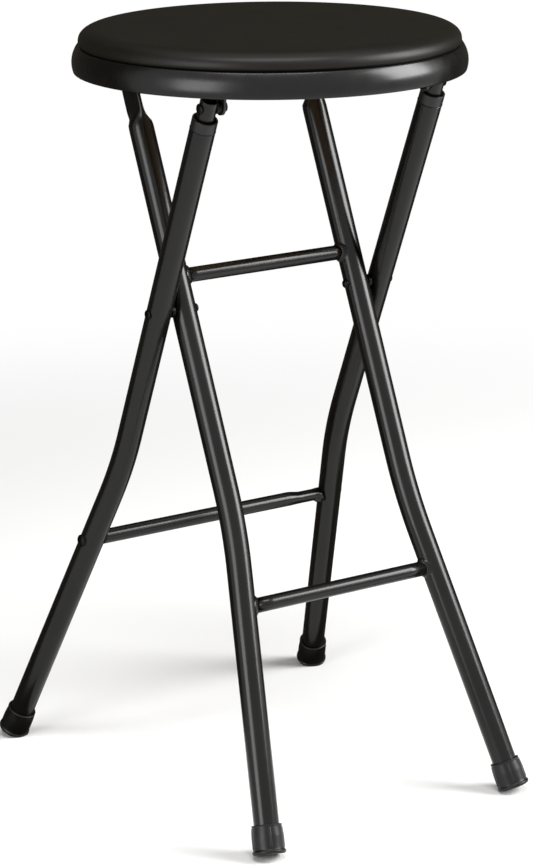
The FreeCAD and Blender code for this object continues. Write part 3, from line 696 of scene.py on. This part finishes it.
def moulded_rubber():
    """Compression-moulded rubber. It gives a dull charcoal with a dusty bloom near the floor and a fine
    grain from the mould."""
    material, tree = empty_material("moulded_rubber")
    place = add(tree, "ShaderNodeTexCoord").outputs["Object"]
    grain = add(tree, "ShaderNodeTexNoise", {"Vector": place, "Scale": 1 / (0.7 * MM), "Detail": 3.0})
    scuff = add(tree, "ShaderNodeTexNoise", {"Vector": place, "Scale": 1 / (9 * MM), "Detail": 6.0})
    height = add(tree, "ShaderNodeSeparateXYZ", {"Vector": place}).outputs["Z"]
    low = add(tree, "ShaderNodeMapRange", {
        "Value": height, "From Min": 6 * MM, "From Max": 0.0, "To Min": 0.02, "To Max": 0.3})
    dust = add(tree, "ShaderNodeMath", {0: low.outputs["Result"], 1: scuff.outputs["Fac"]},
               operation="MULTIPLY")
    tone = add(tree, "ShaderNodeMix", {
        "Factor": dust.outputs["Value"], "A": linear("#050505"), "B": linear("#262421")},
        data_type="RGBA")
    rough = add(tree, "ShaderNodeMapRange", {
        "Value": scuff.outputs["Fac"], "From Min": 0.3, "From Max": 0.7, "To Min": 0.32, "To Max": 0.44})
    coat(tree, grain.outputs["Fac"], 0.3, 0.06 * MM, {
        "Base Color": tone.outputs["Result"], "Roughness": rough.outputs["Result"], "IOR": 1.36})
    return material


rubber = moulded_rubber()


def foot_cap(name, frame_sign, side, body, node):
    """Cap turned round a leg's axis: sole, rounded edge, flange, sleeve, lip and bore, as radius by
    rise. A rib is a bell curve of the angle. What would reach below the floor is pressed up to it."""
    length = leg_length(frame_sign)
    line, up = leg_line(frame_sign, side, [length, length - MM])
    low, high = stand_up(line, frame_sign)
    axis = (high - low) / np.linalg.norm(high - low)
    across = np.array([0.0, -1.0, 0.0]) + axis * axis[1]
    across /= np.linalg.norm(across)
    sideways = np.cross(axis, across)
    angle = np.linspace(0, 2 * math.pi, cap_columns, endpoint=False)[None, :, None]
    spoke = across * np.cos(angle) + sideways * np.sin(angle)

    turn = np.linspace(0, math.pi / 2, 7)[:, None]
    corner = np.array([cap_flange_radius - cap_sole_round, cap_sole_round])
    edge = corner + cap_sole_round * np.hstack([np.sin(turn), -np.cos(turn)])
    share = np.linspace(0, 1, 9)[:, None]
    start = np.array([cap_waist_radius, cap_flange_height + cap_fillet])
    waist = np.array([cap_waist_radius, cap_waist_height])
    top = np.array([cap_top_radius, cap_length - cap_lip - cap_mouth_chamfer])
    sole = np.linspace(0, cap_sole_share, 8)[:, None] * [corner[0], 0]
    step = [(cap_flange_radius, cap_flange_height - cap_ease),
            (cap_flange_radius - cap_ease, cap_flange_height),
            (cap_waist_radius + 0.15 * cap_fillet, cap_flange_height + 0.35 * cap_fillet)]
    lip = [(cap_top_radius, cap_length - cap_lip),
           (cap_top_radius + cap_lip_bulge, cap_length - cap_lip * 2 / 3),
           (cap_top_radius + cap_ease, cap_length - cap_ease), (cap_top_radius - cap_ease, cap_length),
           (tube_radius + cap_mouth_chamfer, cap_length), (tube_radius, cap_length - cap_mouth_chamfer),
           (tube_radius, tube_end_above_sole), (0, tube_end_above_sole)]
    profile = np.concatenate([sole, edge, step, start + (waist - start) * share,
                              waist + (top - waist) * share[1:], lip])
    radius, rise = profile.T
    half_wall = (tube_radius + cap_top_radius) / 2
    on_sleeve = (rise > start[1]) & (rise < top[1]) & (radius > half_wall)
    half_pitch = math.pi / rib_count
    from_rib = (angle - rib_turn + half_pitch) % (2 * half_pitch) - half_pitch
    ribs = np.exp(-(from_rib * cap_waist_radius / rib_width) ** 2)
    radii = radius[:, None, None] + rib_height * ribs * on_sleeve[:, None, None]
    rows = low + axis * rise[:, None, None] + spoke * radii
    rows[..., 2] = np.maximum(rows[..., 2], 0)
    surface(name, rows, rubber, body, [node])


for side_name, side in SIDES.items():
    foot_cap("front_cap_" + side_name, INNER, side, "inner_frame", "front_foot_" + side_name)
    foot_cap("rear_cap_" + side_name, OUTER, side, "outer_frame", "rear_foot_" + side_name)


# Seat board
# A disc of birch plywood, its edges eased, that everything of the seat is fixed to.
board_low, board_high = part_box("seat_board")
board_radius = board_high.x
board_round = 1 * MM
seat_columns = 192


def birch_plywood():
    """Rotary-cut birch veneer, sanded and left raw. It gives a pale wood with long wavy figure and fine
    pores."""
    material, tree = empty_material("birch_plywood")
    place = add(tree, "ShaderNodeTexCoord").outputs["Object"]
    stretched = add(tree, "ShaderNodeMapping", {"Vector": place, "Scale": (1.0, 0.14, 1.0)})
    figure = add(tree, "ShaderNodeTexNoise", {
        "Vector": stretched.outputs["Vector"], "Scale": 1 / (14 * MM), "Detail": 6.0, "Distortion": 1.2})
    pores = add(tree, "ShaderNodeTexNoise", {
        "Vector": stretched.outputs["Vector"], "Scale": 1 / (1.2 * MM), "Detail": 2.0})
    mixed = add(tree, "ShaderNodeMath", {0: pores.outputs["Fac"], 1: 0.35}, operation="MULTIPLY")
    total = add(tree, "ShaderNodeMath", {0: figure.outputs["Fac"], 1: mixed.outputs["Value"]},
                operation="ADD")
    tone = add(tree, "ShaderNodeValToRGB", {"Fac": total.outputs["Value"]})
    tone.color_ramp.elements[0].position = 0.45
    tone.color_ramp.elements[0].color = linear("#a67f52")
    tone.color_ramp.elements[1].position = 0.85
    tone.color_ramp.elements[1].color = linear("#d0ab7b")
    coat(tree, pores.outputs["Fac"], 0.3, 0.08 * MM, {
        "Base Color": tone.outputs["Color"], "Roughness": 0.62, "IOR": 1.45})
    return material


plywood = birch_plywood()
board_profile = rounded([(0, board_low.z), (board_radius, board_low.z), (board_radius, board_high.z),
                         (0, board_high.z)], board_round, closed=False)
surface("seat_base", turned(board_profile, (0, 0, 0), (0, 0, 1), seat_columns), plywood, "seat",
        ["seat_board"])


# Rim
# A glossy black band of moulded plastic round the board: it bulges below the seam, draws in at the
# bottom and turns under the board with a ledge.
rim_low, rim_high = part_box("seat_rim")
seam_radius = 151.5 * MM
bulge_radius = 155.6 * MM
rim_foot_radius = 154.5 * MM
bulge_height = 6.5 * MM
rim_ledge = 3 * MM
rim_ledge_thickness = 2.5 * MM
rim_lip_radius = 149.5 * MM
rim_lip_rise = 0.5 * MM
rim_corner_round = 0.8 * MM


def arc_through(start, middle, end, count):
    """Points of the circle through three points, evenly spaced by angle from the first to the last."""
    a, b, c = (complex(*point) for point in (start, middle, end))
    w = (c - a) / (b - a)
    centre = a + (b - a) * (w - abs(w) ** 2) / (2j * w.imag)
    turn = np.unwrap(np.angle([a - centre, b - centre, c - centre]))
    points = centre + abs(a - centre) * np.exp(1j * np.linspace(turn[0], turn[2], count))
    return np.stack([points.real, points.imag], -1)


def gloss_plastic():
    """Polished-mould ABS, jet black. It gives clear reflections with a faint waviness from the mould."""
    material, tree = empty_material("gloss_moulded_abs")
    place = add(tree, "ShaderNodeTexCoord").outputs["Object"]
    waves = add(tree, "ShaderNodeTexNoise", {"Vector": place, "Scale": 1 / (22 * MM), "Detail": 2.0})
    haze = add(tree, "ShaderNodeTexNoise", {"Vector": place, "Scale": 1 / (15 * MM), "Detail": 1.0})
    tone = add(tree, "ShaderNodeValToRGB", {"Fac": haze.outputs["Fac"]})
    tone.color_ramp.elements[0].color = linear("#050505")
    tone.color_ramp.elements[1].color = linear("#090908")
    rough = add(tree, "ShaderNodeMapRange", {
        "Value": haze.outputs["Fac"], "From Min": 0.3, "From Max": 0.7, "To Min": 0.24, "To Max": 0.3})
    coat(tree, waves.outputs["Fac"], 0.1, 0.15 * MM, {
        "Base Color": tone.outputs["Color"], "Roughness": rough.outputs["Result"], "IOR": 1.38})
    return material


gloss_black = gloss_plastic()
rim_foot = rim_low.z + rim_lip_rise
rim_face = arc_through((rim_foot_radius, rim_foot), (bulge_radius, rim_foot + bulge_height),
                       (seam_radius, rim_high.z), 26)
ledge_radius = board_radius - rim_ledge
rim_corners = rounded([
    (seam_radius, rim_high.z), (board_radius, rim_high.z), (board_radius, board_low.z),
    (ledge_radius, board_low.z), (ledge_radius, board_low.z - rim_ledge_thickness),
    (rim_lip_radius, rim_low.z), (rim_foot_radius, rim_foot)], rim_corner_round, closed=False)
rim_profile = np.concatenate([rim_face, rim_corners[1:-1]])
surface("seat_band", turned(rim_profile, (0, 0, 0), (0, 0, 1), seat_columns), gloss_black, "seat",
        ["seat_rim"], ring=True)


# Cushion
# A disc of firm foam under stretched vinyl. The cover is drawn down over the edge and tucked in above
# the rim, so the sides bulge a little over the seam and the top has a low crown.
cushion_low, cushion_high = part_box("seat_cushion")
tuck_radius = 148.8 * MM
side_radius = 150.3 * MM
side_rise = 3.2 * MM
shoulder_radius = 132 * MM
shoulder_drop = 1.2 * MM
shoulder_power = 0.86
cover_inset = 1 * MM           # inside the board's edge and the tuck, under the cushion


def stretched_vinyl():
    """Calendered vinyl with an embossed grain, stretched over foam. It gives a soft near-black with a
    dull sheen, and fine pebbles about a millimetre across."""
    material, tree = empty_material("stretched_vinyl")
    place = add(tree, "ShaderNodeTexCoord").outputs["Object"]
    pebbles = add(tree, "ShaderNodeTexVoronoi", {"Vector": place, "Scale": 1 / (1.1 * MM)},
                  feature="SMOOTH_F1")
    soft = add(tree, "ShaderNodeTexNoise", {"Vector": place, "Scale": 1 / (35 * MM), "Detail": 3.0})
    tone = add(tree, "ShaderNodeValToRGB", {"Fac": soft.outputs["Fac"]})
    tone.color_ramp.elements[0].position = 0.3
    tone.color_ramp.elements[0].color = linear("#0b0905")
    tone.color_ramp.elements[1].position = 0.7
    tone.color_ramp.elements[1].color = linear("#0f0d08")
    rough = add(tree, "ShaderNodeMapRange", {
        "Value": pebbles.outputs["Distance"], "From Min": 0.0, "From Max": 0.7,
        "To Min": 0.38, "To Max": 0.46})
    coat(tree, pebbles.outputs["Distance"], 0.12, 0.08 * MM, {
        "Base Color": tone.outputs["Color"], "Roughness": rough.outputs["Result"], "IOR": 1.3},
        raised=False)
    return material


vinyl = stretched_vinyl()


def cushion_profile():
    """Underside on the board, the tuck over the rim, a side that bulges, a rounded shoulder and the
    crown. The side is an arc, the shoulder an ellipse made fuller by a power of sine and cosine, and the
    crown falls with the square of the radius."""
    base = cushion_low.z + open_gap
    seam = (tuck_radius, rim_high.z + open_gap)
    side = (side_radius, seam[1] + side_rise)
    shoulder = (shoulder_radius, cushion_high.z - shoulder_drop)
    hollow = ((seam[0] + side[0]) / 2 + open_gap, (seam[1] + side[1]) / 2)
    turn = np.linspace(0, math.pi / 2, 16)[1:]
    corner = np.stack([
        shoulder_radius + (side_radius - shoulder_radius) * np.cos(turn) ** shoulder_power,
        side[1] + (shoulder[1] - side[1]) * np.sin(turn) ** shoulder_power], -1)
    radius = np.linspace(1, 0, 22)
    crown = np.stack([shoulder_radius * radius, cushion_high.z - shoulder_drop * radius ** 2], -1)
    edge = board_radius - cover_inset
    under = np.array([(0, base), (board_radius / 2, base), (edge - 2 * cover_inset, base), (edge, base),
                      (edge, seam[1]), (tuck_radius - cover_inset, seam[1])])
    return np.concatenate([under, arc_through(seam, hollow, side, 6), corner, crown[1:]])


surface("seat_cover", turned(cushion_profile(), (0, 0, 0), (0, 0, 1), seat_columns), vinyl, "seat",
        ["seat_cushion"])


# Brackets under the seat
# Two stamped and folded angles of black steel: a flange screwed up into the board, and a plate with an
# ear for each pivot. Spacers and nuts sit on the plates, and screws in the flanges.
bracket_thickness = 2 * MM
bracket_length = 176.5 * MM
bracket_web = 8 * MM
bracket_flange = 20 * MM
bracket_bend = 2.2 * MM
bracket_edge = 0.3 * MM
ear_radius = 6.5 * MM
ear_foot = 1.5 * MM
ear_step = 1 * MM
screw_inset = 12 * MM
screw_spacing = 50 * MM
screw_length = 12 * MM
screw_radius = 2 * MM
screw_head = (4 * MM, 2 * MM)


def powder_coated_steel():
    """Folded sheet steel under a thin powder coat. It gives a satin black with a pimpled skin."""
    material, tree = empty_material("powder_coated_steel")
    place = add(tree, "ShaderNodeTexCoord").outputs["Object"]
    pimples = add(tree, "ShaderNodeTexNoise", {"Vector": place, "Scale": 1 / (1.6 * MM), "Detail": 3.0})
    tone = add(tree, "ShaderNodeValToRGB", {"Fac": pimples.outputs["Fac"]})
    tone.color_ramp.elements[0].color = linear("#121213")
    tone.color_ramp.elements[1].color = linear("#1c1c1d")
    coat(tree, pimples.outputs["Fac"], 0.35, 0.08 * MM, {
        "Base Color": tone.outputs["Color"], "Roughness": 0.42, "IOR": 1.46})
    return material


coated_steel = powder_coated_steel()


def bracket(name, side, node):
    """Folded sheet: across it, the flange, a quarter circle and the plate down to its lower edge, which
    is the web's and, at the ears, a vertical neck and a half circle round the pivot."""
    pivot_drop = board_low.z - seat_pivot_z
    turn = np.radians(np.linspace(-90, 90, 25))
    ear_y, ear_drop = ear_radius * np.sin(turn), pivot_drop + ear_radius * np.cos(turn)
    foot = np.array([ear_radius + ear_foot, ear_radius + ear_foot / 3])
    half = np.concatenate([
        np.linspace(0, seat_pivot_y - foot[0], 12), seat_pivot_y - foot[1:], seat_pivot_y + ear_y,
        seat_pivot_y + foot[::-1], np.linspace(seat_pivot_y + foot[0], bracket_length / 2, 4)[1:]])
    depth = np.concatenate([
        np.full(12, bracket_web), [bracket_web + ear_step], ear_drop, [bracket_web + ear_step],
        np.full(4, bracket_web)])
    y = np.concatenate([-half[:0:-1], half])
    depth = np.concatenate([depth[:0:-1], depth])
    middle = bracket_thickness / 2
    bend = np.radians(np.linspace(0, 90, 7))
    flat = np.linspace(bracket_flange - middle, bracket_bend, 5)
    inwards = np.concatenate([flat, bracket_bend * (1 - np.sin(bend[1:])), np.zeros(8)])
    down = np.concatenate([np.zeros(5), bracket_bend * (1 - np.cos(bend[1:]))])
    plate = bracket_bend + (depth[None] - middle - bracket_bend) * np.linspace(0, 1, 9)[1:, None]
    down = np.vstack([np.repeat(down[:, None], len(y), 1), plate])
    x = side * (plate_face - middle - np.repeat(inwards[:, None], len(y), 1))
    points = np.stack([x, np.repeat(y[None], len(x), 0), board_low.z - middle - down], -1)
    if side < 0:
        points = points[::-1]
    piece = surface(name, points, coated_steel, "seat", [node], around=False)
    sheet = piece.modifiers.new("sheet", "SOLIDIFY")
    sheet.thickness = bracket_thickness
    sheet.offset = 0.0
    edge = piece.modifiers.new("edge", "BEVEL")
    edge.width = bracket_edge
    edge.segments = 2
    edge.limit_method = "ANGLE"


plate_inside = plate_face - bracket_thickness
flat_inside = inner_half_width + flat_offset - flat_thickness / 2 - turning_gap
screw_x = plate_inside - screw_inset
for side_name, side in SIDES.items():
    bracket("bracket_folded_" + side_name, side, "seat_bracket_" + side_name)
    headed_pin("rear_pin_" + side_name, (side * plate_face, seat_pivot_y, seat_pivot_z), (side, 0, 0),
               plate_face - flat_inside + nut_height + bolt_end, bolt_radius, head_radius, head_height,
               "seat", ["rear_pivot_bolts"])
    nut("rear_nut_" + side_name, (side * flat_inside, seat_pivot_y, seat_pivot_z), (-side, 0, 0),
        "seat", ["rear_pivot_nuts"])
    spacer_foot = flat_inside + flat_thickness + 2 * turning_gap
    spacer_place = (side * spacer_foot, seat_pivot_y, seat_pivot_z)
    ring_piece("rear_collar_" + side_name, bolt_radius, spacer_radius, spacer_place, (side, 0, 0),
               plate_inside - spacer_foot, acetal, "seat", ["rear_pivot_spacers"])
    nut("front_nut_" + side_name, (side * plate_inside, -seat_pivot_y, seat_pivot_z), (-side, 0, 0),
        "seat", ["front_pivot_nuts"])
    stud_length = bracket_thickness + nut_height + bolt_end
    stud = rounded([(0, 0), (bolt_radius, 0), (bolt_radius, stud_length), (0, stud_length)], edge_round,
                   closed=False)
    stud_place = (side * plate_face, -seat_pivot_y, seat_pivot_z)
    surface("front_stud_" + side_name, turned(stud, stud_place, (-side, 0, 0)), fastener_steel, "seat",
            ["front_pivot_nuts"])
    for count in range(3):
        screw_place = (side * screw_x, (count - 1) * screw_spacing, board_low.z - bracket_thickness)
        headed_pin("screw_" + side_name + "_" + str(count), screw_place, (0, 0, -1), screw_length,
                   screw_radius, *screw_head, "seat", ["bracket_screws"])


# Studio
# A wide pale floor and an even room, with a soft light on either side, a narrow one overhead and a dark
# card behind.
floor_half = 12.0
near_radius = 0.6
far_radius = 1.6


def pale_floor():
    """Matt white sweep. Near the object it takes the shadow, and further out it is plain white."""
    material, tree = empty_material("pale_floor")
    place = add(tree, "ShaderNodeTexCoord").outputs["Object"]
    reach = add(tree, "ShaderNodeVectorMath", {0: place}, operation="LENGTH")
    away = add(tree, "ShaderNodeMapRange", {
        "Value": reach.outputs["Value"], "From Min": near_radius, "From Max": far_radius},
        interpolation_type="SMOOTHSTEP")
    matt = add(tree, "ShaderNodeBsdfDiffuse", {"Color": linear("#f4f4f3")})
    plain = add(tree, "ShaderNodeEmission", {"Color": (1.0, 1.0, 1.0, 1.0), "Strength": 1.0})
    mix = add(tree, "ShaderNodeMixShader", {
        0: away.outputs["Result"], 1: matt.outputs["BSDF"], 2: plain.outputs["Emission"]})
    add(tree, "ShaderNodeOutputMaterial", {"Surface": mix.outputs["Shader"]})
    return material


floor_mesh = bpy.data.meshes.new("floor")
corners = [(-floor_half, -floor_half, 0), (floor_half, -floor_half, 0), (floor_half, floor_half, 0),
           (-floor_half, floor_half, 0)]
floor_mesh.from_pydata(corners, [], [(0, 1, 2, 3)])
floor_mesh.materials.append(pale_floor())
floor = bpy.data.objects.new("floor", floor_mesh)
bpy.context.scene.collection.objects.link(floor)

# A curved dark card behind the object, and its foot on the floor. Only reflections show it: it keeps
# the glossy edges dark against the white room.
card_near = 0.2
card_far = 3.0
card_height = 4.5
card_lift = 0.002
card_columns = 40
card_edges = (80.0, 240.0)
card_glow = 0.06


def dark_card():
    """Dull grey felt. It gives reflections a dark, slightly warm tone."""
    material, tree = empty_material("dark_felt")
    felt = add(tree, "ShaderNodeEmission", {"Color": (1.0, 0.88, 0.7, 1.0), "Strength": card_glow})
    add(tree, "ShaderNodeOutputMaterial", {"Surface": felt.outputs["Emission"]})
    return material


turn = np.radians(np.linspace(*card_edges, card_columns))
round_object = np.stack([np.sin(turn), -np.cos(turn), np.zeros(card_columns)], -1)
foot_lift = np.array([0, 0, card_lift])
card_points = np.concatenate([round_object * card_near + foot_lift, round_object * card_far + foot_lift,
                              round_object * card_far + [0, 0, card_height]])
card_faces = [(i, i + 1, i + card_columns + 1, i + card_columns)
              for i in range(2 * card_columns - 1) if i != card_columns - 1]
card_mesh = bpy.data.meshes.new("dark_card")
card_mesh.from_pydata(card_points.tolist(), [], card_faces)
card_mesh.materials.append(dark_card())
card = bpy.data.objects.new("dark_card", card_mesh)
card.visible_camera = card.visible_diffuse = card.visible_shadow = card.visible_transmission = False
bpy.context.scene.collection.objects.link(card)

# Azimuth from -Y towards +X, elevation, distance, width, height and radiance of each soft light
lights = {
    "left_softbox": (-74, 8, 2.2, 1.0, 1.6, 6.0),
    "right_softbox": (52, 27, 2.2, 1.1, 1.4, 16.0),
    "top_softbox": (-33, 70, 2.2, 1.5, 0.45, 14.0),
}
target = np.array([0, 0, 0.35])
for name, (azimuth, elevation, distance, width, height, radiance) in lights.items():
    turn, rise = math.radians(azimuth), math.radians(elevation)
    back = np.array([math.sin(turn) * math.cos(rise), -math.cos(turn) * math.cos(rise), math.sin(rise)])
    lamp = bpy.data.lights.new(name, "AREA")
    lamp.shape = "RECTANGLE"
    lamp.size, lamp.size_y = width, height
    lamp.energy = radiance * math.pi * width * height
    holder = bpy.data.objects.new(name, lamp)
    holder.location = target + back * distance
    holder.rotation_euler = (math.pi / 2 - rise, 0, turn)
    bpy.context.scene.collection.objects.link(holder)

world = bpy.data.worlds.new("room")
bpy.context.scene.world = world
world.use_nodes = True
room = world.node_tree
room.nodes.clear()
ray = add(room, "ShaderNodeLightPath")
glossy = add(room, "ShaderNodeMath", {
    0: ray.outputs["Is Camera Ray"], 1: ray.outputs["Is Glossy Ray"]}, operation="MAXIMUM")
seen = add(room, "ShaderNodeMath", {
    0: glossy.outputs["Value"], 1: ray.outputs["Is Transmission Ray"]}, operation="MAXIMUM")
strength = add(room, "ShaderNodeMapRange", {"Value": seen.outputs["Value"], "To Min": 0.2})
glow = add(room, "ShaderNodeBackground", {
    "Color": (1.0, 1.0, 1.0, 1.0), "Strength": strength.outputs["Result"]})
add(room, "ShaderNodeOutputWorld", {"Surface": glow.outputs["Background"]})

# Camera at the height and side of the view, fitted to the stool's own lines
camera_place = (-1.28582, -1.93825, 0.94228)
camera_yaw = math.radians(-33.4398)
camera_pitch = math.radians(-15.8504)
camera_roll = math.radians(-0.4247)
camera_data = bpy.data.cameras.new("camera")
camera_data.sensor_width = 36
camera_data.lens = 123.72
camera = bpy.data.objects.new("camera", camera_data)
camera.rotation_mode = "QUATERNION"
turn = (Matrix.Rotation(camera_yaw, 4, "Z") @ Matrix.Rotation(math.pi / 2 + camera_pitch, 4, "X")
        @ Matrix.Rotation(camera_roll, 4, "Z"))
camera.matrix_world = Matrix.Translation(Vector(camera_place)) @ turn
bpy.context.scene.collection.objects.link(camera)
bpy.context.scene.camera = camera
bpy.context.scene.view_settings.view_transform = "Standard"
